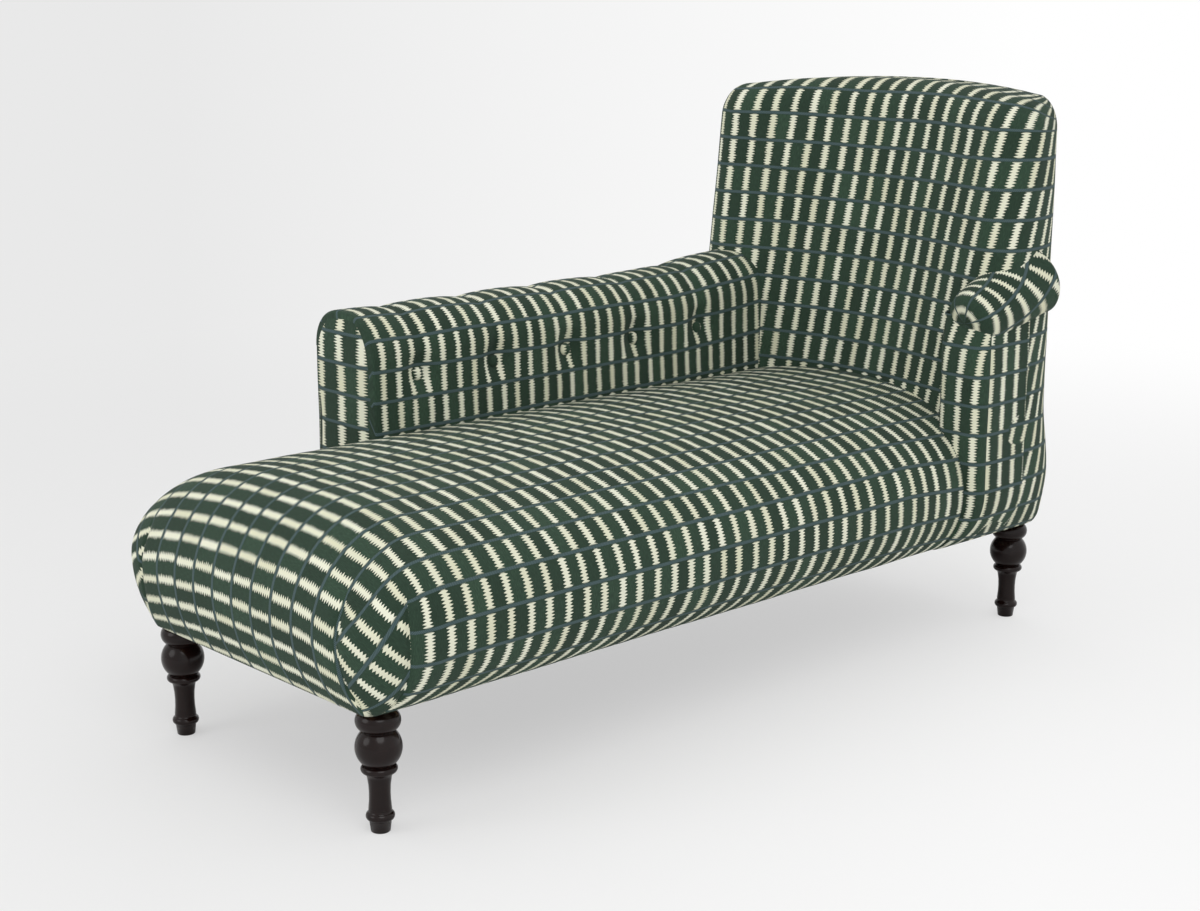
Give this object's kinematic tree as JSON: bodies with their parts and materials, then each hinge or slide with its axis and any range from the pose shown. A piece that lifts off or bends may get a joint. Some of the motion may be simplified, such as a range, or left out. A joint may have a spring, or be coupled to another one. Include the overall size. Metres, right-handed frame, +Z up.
{
  "type": "chaise longue",
  "caption": "Upholstered chaise longue with a tall barrel back, a long buttoned arm, a short scroll arm and turned dark wood legs.",
  "frame": {"origin": "on the floor under the middle of the whole piece's box", "axes": "+Z up, +Y from the foot end towards the back, +X towards the short arm's side"},
  "size_m": [0.7478, 1.5256, 0.959],
  "materials": {
    "turned_wood": "gloss",
    "frame_timber": "satin",
    "zinc_steel": "satin",
    "jute_webbing": "matte",
    "hessian": "matte",
    "bottoming_cloth": "matte",
    "stuffing": "matte",
    "woven_stripe": "matte"
  },
  "bodies": {
    "root": {"arm_buttons": "woven_stripe", "back_middle_rail": "frame_timber", "back_pad": "stuffing", "back_post_left": "frame_timber", "back_post_right": "frame_timber", "back_tacking_rail": "frame_timber", "back_top_rail": "frame_timber", "back_webbing": "jute_webbing", "bottoming_cloth": "bottoming_cloth", "corner_blocks": "frame_timber", "cross_brace_foot": "frame_timber", "cross_brace_head": "frame_timber", "foot_rail": "frame_timber", "hanger_bolts": "zinc_steel", "head_rail": "frame_timber", "inside_back_cover": "woven_stripe", "leg_foot_left": "turned_wood", "leg_foot_right": "turned_wood", "leg_head_left": "turned_wood", "leg_head_right": "turned_wood", "leg_plates": "zinc_steel", "long_arm_cover": "woven_stripe", "long_arm_facing": "woven_stripe", "long_arm_front_post": "frame_timber", "long_arm_outside_cover": "woven_stripe", "long_arm_pad": "stuffing", "long_arm_tacking_rail": "frame_timber", "long_arm_top_rail": "frame_timber", "long_arm_uprights": "frame_timber", "outside_back_cover": "woven_stripe", "rail_tenons": "frame_timber", "seat_cover": "woven_stripe", "seat_hessian": "hessian", "seat_pad": "stuffing", "seat_webbing_across": "jute_webbing", "seat_webbing_along": "jute_webbing", "short_arm_cover": "woven_stripe", "short_arm_facing": "woven_stripe", "short_arm_front_post": "frame_timber", "short_arm_outside_cover": "woven_stripe", "short_arm_pad": "stuffing", "short_arm_rear_post": "frame_timber", "short_arm_tacking_rail": "frame_timber", "short_arm_top_rail": "frame_timber", "side_rail_left": "frame_timber", "side_rail_right": "frame_timber"}
  },
  "joints": []
}
